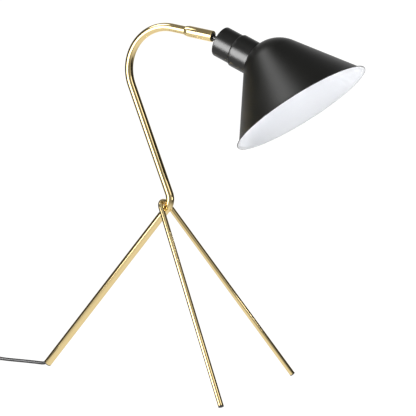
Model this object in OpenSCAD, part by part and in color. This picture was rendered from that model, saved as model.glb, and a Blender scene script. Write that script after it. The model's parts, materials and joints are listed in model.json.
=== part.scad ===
// Tripod table lamp: a bent tube and a hairpin leg carry a ball swivel and a tilted shade.
// X points the way the shade faces, Z is up, and the origin is under the middle of the lamp.

/* [Main tube] */
// Outer diameter of the bent tube
tube_d = 12; // [10:0.5:14]
// Wall of the tube
tube_wall = 1; // [0.8:0.1:1.5]
// Height of the corner where the two straight runs of the tube would meet
knee_h = 262.3; // [210:1:320]
// Lean of the rear leg from vertical, in degrees
leg_lean = 39.4; // [34:0.2:44]
// Bend radius of the knee, on the tube's middle line
knee_bend = 21; // [18:0.5:26]
// Backward lean of the upper run from vertical, in degrees
mast_lean = 21.7; // [16:0.1:26]
// Straight length of the upper run
mast_len = 164.7; // [135:0.5:200]
// Bend radius of the arch at the top
arch_bend = 62.2; // [50:0.5:75]
// Fall of the arm's end below horizontal, in degrees
arm_fall = 8.6; // [4:0.1:14]

/* [Hairpin leg] */
// Diameter of the round bar
bar_d = 8; // [7:0.5:9]
// Bend radius of the hairpin, on the bar's middle line
hairpin_bend = 12.2; // [11:0.1:14]
// How far the hairpin's corner lies behind the knee's corner
hairpin_back = 28.6; // [25:0.1:32]
// Height of the hairpin's corner above the knee's corner
hairpin_rise = 21.2; // [18:0.1:24]
// Fall of the hairpin's middle line below horizontal, in degrees
bar_fall = 59.3; // [57:0.1:62]
// Angle of each front leg to the hairpin's middle line, in degrees
bar_half = 18.87; // [16:0.01:21]

/* [Feet] */
// Thickness of the rubber under each leg
pad_t = 1.2; // [0.8:0.1:2]
// How much of each rubber's lowest edge is cut flat
foot_cut = 0.4; // [0.2:0.05:0.6]

/* [Swivel] */
// Outer diameter of the swivel's collar
collar_d = 16; // [15:0.5:18]
// Where the collar starts, from the end of the arch
collar_from = 21.5; // [15:0.5:25]
// Length of the collar
collar_len = 44; // [40:0.5:50]
// Diameter of the ball, which passes the bore for the tube
ball_d = 12; // [10:0.5:14]
// How far the ball's centre lies inside the collar's mouth
ball_inset = 3; // [2.6:0.1:3.4]
// Diameter of the stem on the ball
stem_d = 6.4; // [6:0.1:7]
// Bore for the wires through ball and stem
stem_bore = 4.8; // [4.6:0.1:5]

/* [Head] */
// Fall of the socket's axis below horizontal, in degrees
head_fall = 23.1; // [18:0.1:30]
// Turn of the head towards the viewer's side, in degrees
head_turn = 2.4; // [0:0.1:6]
// Angle between the socket's axis and the shade's axis, in degrees
shade_bend = 30.2; // [20:0.1:36]
// Space between the lampholder and the wall of the cap around it
cap_room = 1.8; // [1.4:0.1:2.4]
// Distance from the ball's centre to the back of the cap
cap_from = 17; // [15:0.5:20]
// Length of the cap
cap_len = 33; // [30:0.5:36]
// Space between the cap and the wall of the shade's neck around it
neck_room = 1.2; // [0.9:0.1:3]
// Distance from the ball's centre to the back edge of the neck
neck_from = 45; // [43:0.5:48]
// Distance from the ball's centre to the middle of the dome
dome_from = 118.5; // [114:0.5:124]
// Outer diameter of the dome
dome_d = 99; // [92:1:108]
// Half-angle of the shade's cone, in degrees
cone_angle = 34.7; // [30:0.1:40]
// Depth from the middle of the dome to the shade's rim
shade_depth = 58.2; // [50:0.5:75]
// Radius of the bend where the shade's lip turns outward
lip_bend = 3; // [2:0.5:5]
// How far the lip turns outward from the cone, in degrees
lip_turn = 45; // [25:1:50]
// Length of the lip's straight part
lip_len = 2.2; // [1:0.1:4]
// Wall of the shade, the neck and the cap
sheet = 0.8; // [0.6:0.1:1.2]

/* [Lampholder] */
// Outer diameter of the lampholder
holder_d = 39; // [38:0.5:40]
// Inside diameter of the screw shell for the bulb
shell_d = 26.6; // [26.4:0.05:27]
// Length of the screw shell's round wall
shell_len = 23; // [20:0.5:25]

/* [Cord] */
// Diameter of the cord
cord_d = 5; // [4.6:0.1:5.2]
// Radius of the cord's bend as it leaves the rear leg
exit_bend = 22; // [20:0.5:24]
// Step from turn to turn and from layer to layer in the coil
coil_step = 5.5; // [5.5:0.1:6.5]
// Outermost turn's radius in the coil
coil_r = 35; // [33:0.5:38]

/* [Switch and plug] */
// Length of the switch on the cord
switch_len = 58; // [54:1:62]
// Width of the switch
switch_w = 26; // [24:1:28]
// Height of the switch
switch_h = 18; // [17:0.5:20]
// Width of the plug
plug_w = 34; // [32:0.5:36]
// Thickness of the plug
plug_t = 13.8; // [13:0.2:15]
// Distance between the plug's two pins
pin_gap = 18.6; // [18:0.1:19]

/* [Hidden] */
$fn = 96;
far = 400;                       // longer than any cut needs
slip = 0.05;                     // radial clearance of parts that slide in each other
seat = 0.06;                     // clearance round the ball in its seat

// Colours
brass = "#c9a86a";
black = "#26262a";
white = "#f4f4f2";
steel = "#b9bcc0";
contact = "#d3b15c";
rubber = "#3a3a3c";

// Main tube's middle line, in its own plane: [x, z]
tube_r = tube_d / 2;
bore_r = tube_r - tube_wall;
leg_dir = [sin(leg_lean), cos(leg_lean)];
mast_dir = [-sin(mast_lean), cos(mast_lean)];
arm_dir = [cos(arm_fall), -sin(arm_fall)];
knee = [0, knee_h];
knee_cut = knee_bend * tan((leg_lean + mast_lean) / 2);
knee_in = knee - knee_cut * leg_dir;
knee_out = knee + knee_cut * mast_dir;
knee_mid = knee_in + knee_bend * [-cos(leg_lean), sin(leg_lean)];
mast_top = knee_out + mast_len * mast_dir;
arch_mid = mast_top + arch_bend * [cos(mast_lean), sin(mast_lean)];
arch_end = arch_mid + arch_bend * [sin(arm_fall), cos(arm_fall)];
rear_z = tube_r * sin(leg_lean) - foot_cut;      // middle of the rear foot's face
function on_leg(z) = knee - (knee_h - z) / cos(leg_lean) * leg_dir;
rear_end = on_leg(rear_z);
leg_len = (knee_in[1] - rear_z) / cos(leg_lean); // down the leg from the knee's bend
tube_end = rear_end + pad_t * leg_dir;
tube_stop = collar_from + collar_len - ball_inset - 16.5;   // end of the tube inside the collar

// Hairpin leg: its corner, its feet and the angle between its bars
bar_r = bar_d / 2;
corner = [-hairpin_back, 0, knee_h + hairpin_rise];
bar_tilt = acos(sin(bar_fall) * cos(bar_half));  // lean of each bar from vertical
foot_z = bar_r * sin(bar_tilt) - foot_cut;       // middle of each front foot's face
pad_end = (corner[2] - foot_z) / cos(bar_tilt);
hairpin_top = hairpin_bend / sin(bar_half) - hairpin_bend;   // from the corner to the top of the bend
hairpin_start = hairpin_bend / tan(bar_half);

// Swivel: distances along the arm from the end of the arch
ball_at = collar_from + collar_len - ball_inset;
ball_r = ball_d / 2;
collar_r = collar_d / 2;
stem_r = stem_d / 2;
mouth_r = 5.3;
cup_front = ball_at - 4;
spring_n = 4;
spring_t = 0.5;
spring_rise = 0.9;
spring_step = spring_t + spring_rise + 0.02;
cup_back = tube_stop + 0.02 + spring_n * spring_step;
cable_stop = tube_stop - 10;
pivot = arch_end + ball_at * arm_dir;

// Head: distances along the socket's axis from the ball's centre
holder_r = holder_d / 2;
cap_r = holder_r + cap_room + sheet;
neck_r = cap_r + neck_room + sheet;
dome_r = dome_d / 2;
stem_end = 28;
thread_r = 5;
nut_from = cap_from + sheet;
nut_t = 3;
holder_from = nut_from + nut_t;
skirt_from = 44;
base_from = 41;
base_t = 4.5;
shell_r = shell_d / 2;
shell_from = base_from + base_t;
shell_floor = 0.5;
shell_end = shell_from + shell_floor + shell_len;
skirt_end = shell_end + 2.6;
flange_from = 60;
flange_t = 1.2;
block_y = 9;

// Shade's outline, from the middle of the dome along the shade's axis: [radius, depth]
wall_out = [cos(cone_angle), -sin(cone_angle)];
wall_down = [sin(cone_angle), cos(cone_angle)];
lip_dir = cos(lip_turn) * wall_down + sin(lip_turn) * wall_out;
function lip_point(start, a, r, along) = start + (lip_bend - r * cos(a)) * wall_out
    + r * sin(a) * wall_down + along * lip_dir;
lip_drop = lip_point([0, 0], lip_turn, lip_bend + sheet / 2, lip_len)[1];
cone_len = (shade_depth - lip_drop + dome_r * sin(cone_angle)) / cos(cone_angle);
lip_from = dome_r * wall_out + cone_len * wall_down;
lip_steps = 6;
rim_out = lip_point(lip_from, lip_turn, lip_bend, lip_len);
rim_in = lip_point(lip_from, lip_turn, lip_bend + sheet, lip_len);
dome_steps = 28;

// The lamp's middle between its rearmost and foremost points
rearmost = rear_end[0] - tube_r * cos(leg_lean);
shade_fall = head_fall + shade_bend;
function reach(fall) = cos(head_turn) * cos(fall);
function rim_reach(p) = p[1] * reach(shade_fall) + p[0] * sqrt(1 - pow(reach(shade_fall), 2));
foremost = pivot[0] + dome_from * reach(head_fall) + max(rim_reach(rim_out), rim_reach(rim_in));
middle = (rearmost + foremost) / 2;

// Cord: its way out of the rear leg on one arc that ends flat on the table
cord_r = cord_d / 2;
exit_from = on_leg(cord_r + exit_bend * (1 - sin(leg_lean)));
exit_up = six((knee_in[1] - exit_from[1]) / cos(leg_lean));
exit_mid = exit_from + exit_bend * [-cos(leg_lean), sin(leg_lean)];
exit_fall = 27;                  // the cord's fall below horizontal where it leaves the foot
cord_exit = exit_mid + exit_bend * [sin(exit_fall), -cos(exit_fall)];
cord_sides = 10;
exit_at = [cord_exit[0] - middle, 0, cord_exit[1]];
exit_way = [for (a = [20, 13, 6, 0]) [exit_mid[0] - middle + exit_bend * sin(a), 0,
    exit_mid[1] - exit_bend * cos(a)]];
lead_route = concat([exit_at, exit_at - [cos(exit_fall), 0, sin(exit_fall)] * 0.6], exit_way, [[-272, -0.2, 2.5],
    [-284, -0.8, 2.5], [-296, -1.8, 2.5], [-308, -3, 2.5], [-320, -4.2, 2.6], [-331, -5.1, 3.1],
    [-341, -5.7, 4.2], [-348, -6, 5.1], [-353, -6, 5.5], [-357, -6, 5.5]]);
run_route = [[-405, -6, 5.5], [-410, -6, 5.5], [-415, -6.2, 5.3], [-420, -7.3, 4.8], [-425.5, -9.9, 4.1],
    [-430.3, -13.9, 3.5], [-434, -19, 3.1], [-436.3, -25, 2.9], [-437, -31, 2.8], [-437, -43, 3.1],
    [-437, -51, 3.4], [-437, -56, 3.4]];
coil_at = [-402, -61];
coil_z = 3.4;
coil_layers = 4;
coil_turns = 8 + 70 / 360;
coil_rings = 24;
layer_turns = coil_turns / coil_layers;
coil_end_a = 180 + 360 * coil_turns;
coil_top = coil_z + (coil_layers - 1) * coil_step;
plug_at = [-340, -113, plug_t / 2];
plug_turn = -10;                 // turned so that its pins point past the near front foot
relief_len = 22;
end_route = concat([[-396, -100.3, 18.6], [-389, -102.6, 15.9], [-382, -104.7, 12.4], [-375, -106.5, 9.3],
    [-369, -107.8, 7.5]], [for (back = [24, 17, 9, 1]) plug_at - back * [cos(plug_turn), sin(plug_turn), 0]]);
pin_d = 4;
pin_out = 19;
pin_in = 8;
pin_root = 1.5;

// Switch: its middle on the table, and the height of its seam, where the cord goes in
switch_at = [-381, -6, 0];
seam_z = 5.5;
shell_t = 1.8;
window = [18, 11];
rocker_z = 14.6;
rocker_rest = 9;                 // the rocker's tilt from level in either position
screw_x = 20;

// ---------------------------------------------------------------- helpers

// A round bar between two points
module bar(a, b, r) {
    d = b - a;
    translate(a) rotate([0, acos(d[2] / norm(d)), atan2(d[1], d[0])]) cylinder(h = norm(d), r = r);
}

// A round bar in the lamp's own plane, between two [x, z] points
module run(a, b, r) bar([a[0], 0, a[1]], [b[0], 0, b[1]], r);

// A bend of a bar that comes up along Z, towards -X
module elbow(size, turn, r) translate([-size, 0, 0]) rotate([90, 0, 0])
    rotate_extrude(angle = turn) translate([size, 0]) circle(r);

// What follows that bend; the second turn makes good the rounding of the first to six digits,
// unless trim is 0
module past(size, turn, trim = 1) translate([-size, 0, 0]) rotate([0, -turn, 0])
    rotate([0, trim * (off(turn) - turn), 0]) translate([size, 0, 0]) children();
function six(x) = let (p = pow(10, 5 - floor(log(abs(x))))) round(x * p) / p;
function off(a) = atan2(six(sin(a)), six(cos(a)));

// The tube's way, as a solid of radius r: down the leg for a length, and on for a distance s past the arch
module tube_way(down, s, r, trim = 1) translate([knee_in[0], 0, knee_in[1]]) rotate([0, leg_lean, 0]) {
    translate([0, 0, -down]) cylinder(h = down, r = r);
    elbow(knee_bend, leg_lean + mast_lean, r);
    past(knee_bend, leg_lean + mast_lean, trim) {
        cylinder(h = mast_len, r = r);
        translate([0, 0, mast_len]) mirror([1, 0, 0]) {
            elbow(arch_bend, 90 + mast_lean + arm_fall, r);
            past(arch_bend, 90 + mast_lean + arm_fall, trim) cylinder(h = s, r = r);
        }
    }
}

// The hairpin: two bars from the bend to a distance s from the corner
module hairpin(s, r) translate(corner) rotate([0, bar_fall, 0]) rotate([0, 0, bar_half])
    rotate([0, -90, 0]) rotate([0, 0, 90]) translate([0, 0, -hairpin_start]) {
        translate([0, 0, hairpin_start - s]) cylinder(h = s - hairpin_start, r = r);
        elbow(hairpin_bend, 180 - 2 * bar_half, r);
        past(hairpin_bend, 180 - 2 * bar_half) cylinder(h = s - hairpin_start, r = r);
    }

module whole() translate([-middle, 0, 0]) children();
module above_table() intersection() {
    children();
    translate([-far, -far, 0]) cube(2 * far);
}
// Along the arm, from the end of the arch
module on_arm(s) translate([arch_end[0], 0, arch_end[1]]) rotate([0, 90 + arm_fall, 0])
    translate([0, 0, s]) children();
// Along the socket's axis, from the ball's centre: X is down and Y across
module on_head(t) translate([pivot[0], 0, pivot[1]]) rotate([0, 0, -head_turn]) rotate([0, 90 + head_fall, 0])
    translate([0, 0, t]) children();
module on_shade() on_head(dome_from) rotate([0, shade_bend, 0]) children();

module ring(r_out, r_in, h) difference() {
    cylinder(h = h, r = r_out);
    translate([0, 0, -1]) cylinder(h = h + 2, r = r_in);
}

// A rectangle with round corners, middled on the origin
module rounded(size, r) {
    square([size[0] - 2 * r, size[1]], center = true);
    square([size[0], size[1] - 2 * r], center = true);
    for (x = [-1, 1], y = [-1, 1]) translate([x * (size[0] / 2 - r), y * (size[1] / 2 - r)]) circle(r);
}

// A tube swept along points, with a ring at each point
function unit(v) = v / norm(v);
function heading(p, i) = unit(p[min(i + 1, len(p) - 1)] - p[max(i - 1, 0)]);
function loop(c, h, r, n) = let (side = unit(cross(h, [0, 0, 1])), up = cross(side, h))
    [for (k = [0 : n - 1]) let (a = 360 * k / n - 90) c + r * (cos(a) * side + sin(a) * up)];
module swept(p, r, n) {
    m = len(p);
    points = [for (i = [0 : m - 1]) each loop(p[i], heading(p, i), r, n)];
    sides = [for (i = [0 : m - 2], k = [0 : n - 1]) let (a = i * n + k, b = i * n + (k + 1) % n)
        each [[a, b, b + n], [a, b + n, a + n]]];
    ends = [for (k = [1 : n - 2]) each [[0, k + 1, k], [(m - 1) * n, (m - 1) * n + k, (m - 1) * n + k + 1]]];
    polyhedron(points = points, faces = concat(sides, ends), convexity = 10);
}

// The coil's middle line: it spirals in and out again, and climbs a layer at each reversal
function smooth(x) = let (c = min(max(x, 0), 1)) c * c * (3 - 2 * c);
function coil_radius(u) = let (w = u / layer_turns, f = w - 2 * floor(w / 2))
    coil_r - coil_step * layer_turns * (f < 1 ? f : 2 - f);
function climb(u, k) = smooth((u - k * layer_turns) * 2 + 0.5);
function coil_height(u) = coil_z + coil_step * (climb(u, 1) + climb(u, 2) + climb(u, 3));
function coil_point(u) = let (a = 180 + 360 * u, r = coil_radius(u))
    [coil_at[0] + r * cos(a), coil_at[1] + r * sin(a), coil_height(u)];
coil_count = ceil(coil_turns * coil_rings);
coil_way = [for (i = [0 : coil_count]) coil_point(coil_turns * i / coil_count)];
coil_out = [-sin(coil_end_a), cos(coil_end_a), 0];
coil_leave = coil_way[coil_count] + cord_d * coil_out;
coil_line = concat([coil_way[0] + [0, cord_d, 0]], coil_way, [coil_leave]);
coil_gap = min([for (i = [0 : coil_count], j = [i + coil_rings / 2 : coil_count])
    norm(coil_way[i] - coil_way[j])]) - cord_d;
echo(coil_gap = coil_gap);

// ---------------------------------------------------------------- stand

module main_tube() color(brass) whole() difference() {
    tube_way(leg_len - pad_t, tube_stop, tube_r, 0);
    tube_way(leg_len, tube_stop + 2, bore_r, 0);
}

module front_legs() color(brass) whole() difference() {
    hairpin(pad_end - pad_t, bar_r);
    for (side = [-1, 1]) on_bar(side, pad_end - pad_t - 5) cylinder(h = 6, r = 1.5 + slip);
}

// At a distance s from the corner along one bar of the hairpin
module on_bar(side, s) translate(corner) rotate([0, bar_fall, 0]) rotate([0, 0, side * bar_half])
    rotate([0, 90, 0]) translate([0, 0, s]) children();

// Filler metal between the hairpin's bend and the hollow of the knee
module braze_joint() {
    top = [corner[0], corner[2]] + hairpin_top * [cos(bar_fall), -sin(bar_fall)];
    out = unit(top - knee_mid);
    color(brass) whole() difference() {
        run(top, knee_mid + (knee_bend - 1) * out, 3);
        hairpin(60, bar_r);
        tube_way(40, 1, tube_r);
    }
}

module rear_foot_bush() color(rubber) whole() above_table() difference() {
    union() {
        run(rear_end, tube_end, tube_r);
        run(rear_end, tube_end + 6 * leg_dir, bore_r - slip);
    }
    exit_way(90 - leg_lean + 5, 8, cord_r + 0.15);
}

// The cord's way at the foot: up the leg for a length, and through a turn on the exit arc
module exit_way(turn, up, r) translate([exit_from[0], 0, exit_from[1]]) rotate([0, leg_lean, 0]) {
    cylinder(h = up, r = r);
    mirror([0, 0, 1]) elbow(exit_bend, turn, r);
}

module front_foot_pads() color(rubber) whole() above_table() for (side = [-1, 1]) {
    on_bar(side, pad_end - pad_t) cylinder(h = pad_t, r = bar_r);
    on_bar(side, pad_end - pad_t - 4.5) cylinder(h = 5, r = 1.5);
}

module tube_cable() color(black) whole() {
    tube_way(exit_up, cable_stop, cord_r);
    translate([knee_in[0], 0, knee_in[1]]) rotate([0, leg_lean, 0]) translate([0, 0, -exit_up])
        mirror([0, 0, 1]) elbow(exit_bend, 90 - leg_lean - exit_fall, cord_r);
}

module stand_wires() color("#7a4a2a") whole() for (side = [-1, 1])
    on_arm(cable_stop) translate([0, side * 1.2, 0]) cylinder(h = ball_at - ball_r - 1 - cable_stop, r = 1.1);

// ---------------------------------------------------------------- swivel

module swivel_collar() color(brass) whole() difference() {
    on_arm(collar_from) rotate_extrude() polygon([[0, 0], [tube_r + 0.5, 0], [tube_r + 0.9, 0.4],
        [collar_r - 0.25, 4.3], [collar_r, 5.6], [collar_r, collar_len - 0.6],
        [collar_r - 0.6, collar_len], [0, collar_len]]);
    on_arm(collar_from - 1) cylinder(h = ball_at - collar_from + 1, r = tube_r + slip);
    on_arm(ball_at) sphere(ball_r + seat);
    on_arm(ball_at) cylinder(h = 10, r = mouth_r);
    on_arm(collar_from + 9) rotate([0, 90, 0]) cylinder(h = 20, r = 1.5 + slip);
}

module collar_screw() color(steel) whole() on_arm(collar_from + 9) rotate([0, 90, 0]) difference() {
    translate([0, 0, tube_r + 0.02]) cylinder(h = collar_r - tube_r - 0.3, r = 1.5);
    translate([0, 0, collar_r - 1]) cylinder(h = 2, r = 0.85, $fn = 6);
}

module disc_springs() color(steel) whole() for (i = [0 : spring_n - 1])
    on_arm(tube_stop + 0.02 + i * spring_step) rotate_extrude()
        polygon(i % 2 == 0
            ? [[3.6, 0], [tube_r - 0.15, spring_rise], [tube_r - 0.15, spring_rise + spring_t], [3.6, spring_t]]
            : [[3.6, spring_rise], [tube_r - 0.15, 0], [tube_r - 0.15, spring_t], [3.6, spring_rise + spring_t]]);

module pressure_cup() color(steel) whole() difference() {
    on_arm(cup_back) ring(tube_r, stem_r, cup_front - cup_back);
    on_arm(ball_at) sphere(ball_r + seat);
}

module swivel_ball() color(black) whole() on_head(0) difference() {
    union() {
        sphere(ball_r);
        cylinder(h = cap_from - 1.5, r = stem_r);
        translate([0, 0, cap_from - 1.5]) cylinder(h = 1.5, r = thread_r + 1.5);
        translate([0, 0, cap_from]) cylinder(h = stem_end - cap_from, r = thread_r);
    }
    translate([0, 0, -ball_r - 1]) cylinder(h = stem_end + ball_r + 2, r = stem_bore / 2);
}

// ---------------------------------------------------------------- head

module socket_cap() color(black) whole() on_head(cap_from) difference() {
    rotate_extrude() union() {
        polygon([[0, 0], [cap_r - 1.5, 0], [cap_r - 1.5, 1.5], [cap_r, 1.5], [cap_r, cap_len], [0, cap_len]]);
        translate([cap_r - 1.5, 1.5]) circle(1.5);
    }
    translate([0, 0, sheet]) cylinder(h = cap_len, r = cap_r - sheet);
    translate([0, 0, -1]) cylinder(h = 4, r = thread_r + slip);
}

module lock_nut() color(steel) whole() on_head(nut_from) difference() {
    cylinder(h = nut_t, r = 8, $fn = 6);
    translate([0, 0, -1]) cylinder(h = nut_t + 2, r = thread_r + slip);
}

module holder_body() color(black) whole() on_head(holder_from) difference() {
    union() {
        cylinder(h = 4, r1 = holder_r - 4, r2 = holder_r);
        translate([0, 0, 4]) cylinder(h = skirt_from - holder_from - 4, r = holder_r);
    }
    translate([0, 0, 7]) cylinder(h = 40, r = holder_r - 2);
    translate([0, 0, -1]) cylinder(h = 40, r = thread_r + slip);
}

module contact_base() color(white) whole() on_head(base_from) difference() {
    cylinder(h = base_t, r = holder_r - 2.3);
    translate([0, 0, base_t - 1.5]) cylinder(h = 2, r = 5);
    for (side = [-1, 1]) translate([0, side * block_y, -1]) cylinder(h = 3, r = 1.5);
}

module terminal_blocks() color(contact) whole() for (side = [-1, 1]) on_head(base_from) difference() {
    translate([-3, side * block_y - 3, -6]) cube([6, 6, 6]);
    translate([0, side * block_y, -7]) cylinder(h = 5, r = 1.25);
    translate([0, side * block_y, -4]) rotate([0, 90, 0]) cylinder(h = 5, r = 1.3);
}

module terminal_screws() color(steel) whole() for (side = [-1, 1])
    on_head(base_from - 4) translate([0, side * block_y, 0]) rotate([0, 90, 0]) difference() {
        union() {
            translate([0, 0, 1.3]) cylinder(h = 3, r = 1.25);
            translate([0, 0, 3.1]) cylinder(h = 1.4, r = 2.2);
        }
        translate([-3, -0.3, 3.9]) cube([6, 0.6, 2]);
    }

module centre_contact() color(contact) whole() on_head(shell_from) {
    translate([0, 0, -1.4]) cylinder(h = 0.6, r = 4.6);
    translate([0, 0, -0.8]) cylinder(h = 0.9, r = 2.5);
}

module screw_shell() color(contact) whole() on_head(shell_from) {
    ring(shell_r + 0.5, 6.5, shell_floor);
    translate([0, 0, shell_floor]) ring(shell_r + 0.5, shell_r, shell_len);
}

module holder_skirt() color(black) whole() on_head(0) difference() {
    union() {
        translate([0, 0, skirt_from]) cylinder(h = skirt_end - skirt_from, r = holder_r);
        translate([0, 0, flange_from - 3]) cylinder(h = 3, r = holder_r + 2);
    }
    translate([0, 0, skirt_from - 1]) cylinder(h = shell_end + 0.1 - skirt_from + 1, r = holder_r - 2.2);
    translate([0, 0, skirt_from]) cylinder(h = 80, r = shell_r + 0.8);
}

module shade_ring() color(black) whole() on_head(flange_from + flange_t + 0.02)
    difference() {
        ring(holder_r + 2.6, holder_r + slip, 6);
        for (a = [0 : 30 : 330]) rotate([0, 0, a]) translate([holder_r + 2.9, 0, -1]) cylinder(h = 8, r = 0.8);
    }

// The neck slides over the cap, turns in at its back edge, and ends on the dome
module neck_sleeve() color(black) whole() difference() {
    union() {
        on_head(neck_from) cylinder(h = 2, r1 = neck_r - 1.5, r2 = neck_r);
        on_head(neck_from + 2) cylinder(h = dome_from - neck_from - 2, r = neck_r);
    }
    on_head(neck_from - 1) cylinder(h = 4, r = cap_r + 0.3);
    on_head(neck_from + sheet + 0.6) cylinder(h = flange_from - neck_from - sheet - 0.6, r = neck_r - sheet);
    on_head(flange_from + flange_t) cylinder(h = 80, r = neck_r - sheet);
    on_head(flange_from - 1) cylinder(h = 4, r = holder_r + 0.2);
    on_head(dome_from) sphere(dome_r);
}

function arc(r) = [for (i = [0 : dome_steps]) let (a = -90 + (90 - cone_angle) * i / dome_steps)
    [r * cos(a), r * sin(a)]];
module shade_outline() polygon(concat(
    arc(dome_r),
    [for (i = [0 : lip_steps]) lip_point(lip_from, lip_turn * i / lip_steps, lip_bend, 0)],
    [rim_out, rim_in],
    [for (i = [lip_steps : -1 : 0]) lip_point(lip_from, lip_turn * i / lip_steps, lip_bend + sheet, 0)],
    [for (i = [dome_steps : -1 : 0]) arc(dome_r - sheet)[i]]));

module shade() color(black) whole() difference() {
    on_shade() rotate_extrude() shade_outline();
    on_head(dome_from - dome_r - 1) cylinder(h = dome_r, r = neck_r - sheet);
}

module head_wires() color("#3a5a9a") whole() for (side = [-1, 1]) on_head(0) {
    bend_from = [0, side * 1.2, stem_end + 1];
    bend_to = [0, side * block_y, base_from - 7.5];
    bar([0, side * 1.2, 1 - ball_r], bend_from, 1.1);
    translate(bend_from) sphere(1.2);
    bar(bend_from, bend_to, 1.1);
    translate(bend_to) sphere(1.2);
    bar(bend_to, [0, side * block_y, base_from - 4.5], 1.1);
}

// ---------------------------------------------------------------- cord, switch and plug

module cord_lead() color(black) swept(lead_route, cord_r, cord_sides);
module cord_run() color(black) swept(run_route, cord_r, cord_sides);
module cord_coil() color(black) swept(coil_line, cord_r, 6);
module cord_end() color(black) swept(concat([coil_leave, coil_leave + 4 * coil_out], end_route),
    cord_r, cord_sides);

// A strap round the coil's bundle, on the side away from the switch
module cord_tie() {
    inner = coil_r - coil_step * layer_turns - cord_r - 0.4;
    outer = coil_r + cord_r + 0.4;
    top = coil_top + cord_r + 0.4;
    strap = 0.8;
    color(rubber) translate([coil_at[0], coil_at[1], 0]) rotate([0, 0, 10]) translate([0, 5, 0])
        rotate([90, 0, 0]) linear_extrude(height = 10) translate([(inner + outer) / 2, (top + strap) / 2])
            difference() {
                rounded([outer - inner + 2 * strap, top + strap], 3);
                rounded([outer - inner, top - strap], 2.2);
            }
}

module switch_plan(inset) rounded([switch_len - 2 * inset, switch_w - 2 * inset], 9 - inset);

module switch_screw_posts(r, z, h) for (x = [-1, 1]) translate([x * screw_x, 0, z]) cylinder(h = h, r = r);

module cord_way(r) for (side = [-1, 1]) translate([side * switch_len / 2 - 5, 0, seam_z])
    rotate([0, 90, 0]) cylinder(h = 10, r = r);

module switch_base() color(black) translate(switch_at) difference() {
    linear_extrude(height = seam_z) switch_plan(0);
    difference() {
        translate([0, 0, shell_t]) linear_extrude(height = seam_z) switch_plan(shell_t);
        switch_screw_posts(4, 0, seam_z);
    }
    switch_screw_posts(1.6, -1, 20);
    switch_screw_posts(2.9, -1, 3);
    cord_way(cord_r + 0.15);
}

module switch_cover() color(black) translate(switch_at) difference() {
    translate([0, 0, seam_z]) union() {
        linear_extrude(height = switch_h - seam_z - 2) switch_plan(0);
        translate([0, 0, switch_h - seam_z - 2]) linear_extrude(height = 2) switch_plan(1.5);
    }
    difference() {
        linear_extrude(height = switch_h - shell_t) switch_plan(shell_t);
        switch_screw_posts(3.6, 0, switch_h);
        for (side = [-1, 1]) translate([-4, side * (window[1] / 2 + 1) - 1, rocker_z - 4]) cube([8, 2, 10]);
    }
    translate([-window[0] / 2, -window[1] / 2, seam_z]) cube([window[0], window[1], 20]);
    translate([0, -window[1] / 2 - 2.5, rocker_z]) rotate([-90, 0, 0]) cylinder(h = window[1] + 5, r = 1.2 + slip);
    switch_screw_posts(1.2, 0, 14);
    cord_way(cord_r + 0.15);
}

// The rocker lies with its lamp side pressed in, and tips to the other side
module switch_rocker() color(black) translate(switch_at + [0, 0, rocker_z]) rotate([0, rocker_rest, 0]) {
    translate([0, window[1] / 2 - 0.4, 0]) rotate([90, 0, 0]) linear_extrude(height = window[1] - 0.8)
        polygon([[-7.6, 1], [-7.6, 4.4], [0, 3.2], [7.6, 4.4], [7.6, 1], [3, -3.5], [-3, -3.5]]);
    translate([0, -window[1] / 2 - 1.6, 0]) rotate([-90, 0, 0]) cylinder(h = window[1] + 3.2, r = 1.2);
}

module switch_contacts() color(contact) translate(switch_at) for (side = [-1, 1])
    translate([side * 9.5, 0, 0]) {
        translate([-2.5, -3.5, shell_t]) cube([5, 7, 0.8]);
        translate([-0.4, -3.5, shell_t]) cube([0.8, 7, 6]);
    }

module switch_screws() color(steel) translate(switch_at) for (x = [-1, 1]) translate([x * screw_x, 0, 0])
    difference() {
        union() {
            translate([0, 0, 0.4]) cylinder(h = 1.6, r = 2.6);
            translate([0, 0, 2]) cylinder(h = 10, r = 1.15);
        }
        translate([-3, -0.35, -1]) cube([6, 0.7, 2.1]);
    }

// From the end of the plug's body that the cord goes into, at mid height, with X towards the pins
module on_plug() translate(plug_at) rotate([0, 0, plug_turn]) children();

// Seen from above, the plug narrows from its face to its strain relief
module plug_body() color(black) on_plug() difference() {
    translate([0, 0, -plug_t / 2]) linear_extrude(height = plug_t) {
        polygon([[0, -6.5], [6, -7.5], [22, -plug_w / 2], [31.5, -plug_w / 2], [34, 2.5 - plug_w / 2],
            [34, plug_w / 2 - 2.5], [31.5, plug_w / 2], [22, plug_w / 2], [6, 7.5], [0, 6.5]]);
    }
    for (side = [-1, 1]) translate([34 - pin_in, side * pin_gap / 2, 0]) rotate([0, 90, 0])
        cylinder(h = 20, r = pin_root + 0.02);
}

module plug_relief() color(black) on_plug() translate([-relief_len, 0, 0]) rotate([0, 90, 0]) difference() {
    union() {
        cylinder(h = relief_len, r1 = 3.6, r2 = 5.6);
        for (i = [0 : 3]) translate([0, 0, 3 + 4.5 * i]) cylinder(h = 2.2, r = 4.4 + 0.45 * i);
    }
    translate([0, 0, -1]) cylinder(h = relief_len + 2, r = cord_r + slip);
}

module plug_pins() color(steel) for (side = [-1, 1])
    on_plug() translate([34 - pin_in, side * pin_gap / 2, 0]) rotate([0, 90, 0]) {
        cylinder(h = pin_in + 0.5, r = pin_root);
        translate([0, 0, pin_in]) cylinder(h = pin_out - 1, r = pin_d / 2);
        translate([0, 0, pin_in + pin_out - 1]) cylinder(h = 1, r1 = pin_d / 2, r2 = pin_d / 2 - 0.8);
    }

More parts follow.
